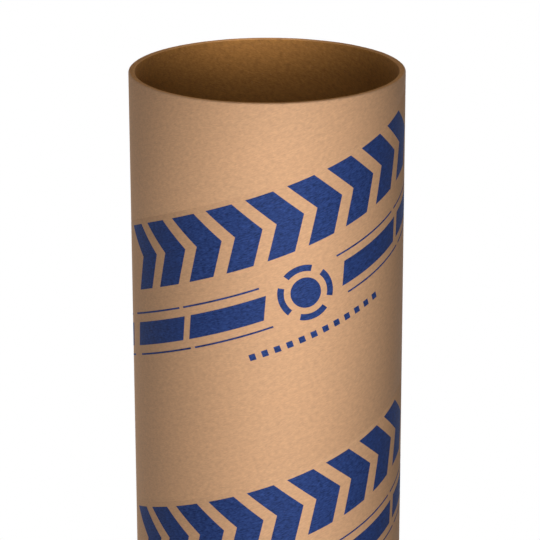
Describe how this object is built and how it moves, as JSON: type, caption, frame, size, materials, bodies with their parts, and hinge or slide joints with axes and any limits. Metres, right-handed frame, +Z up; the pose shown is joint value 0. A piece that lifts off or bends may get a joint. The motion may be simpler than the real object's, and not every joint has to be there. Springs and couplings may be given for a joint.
{
  "type": "concrete form tube",
  "caption": "Round cardboard tube wound in a spiral, open at both ends and printed in blue: the throw-away mould of a round concrete column, standing on its end.",
  "frame": {"origin": "centre of the lower end, on the surface that the tube stands on", "axes": "+Z up along the tube's axis, -Y towards the front, where the print's upper repeat is centred, +X to the right as seen from the front"},
  "size_m": [0.2138, 0.2138, 1.2192],
  "materials": {
    "kraft_board": "dull brown kraft paper, smooth and slightly mottled by its fibres, a little darker on the cut ends",
    "blue_ink": "flat dark blue printing ink on kraft paper, slightly uneven where the fibres show through"
  },
  "bodies": {
    "root": {"form_tube": "kraft_board", "blue_print": "blue_ink"}
  },
  "joints": []
}
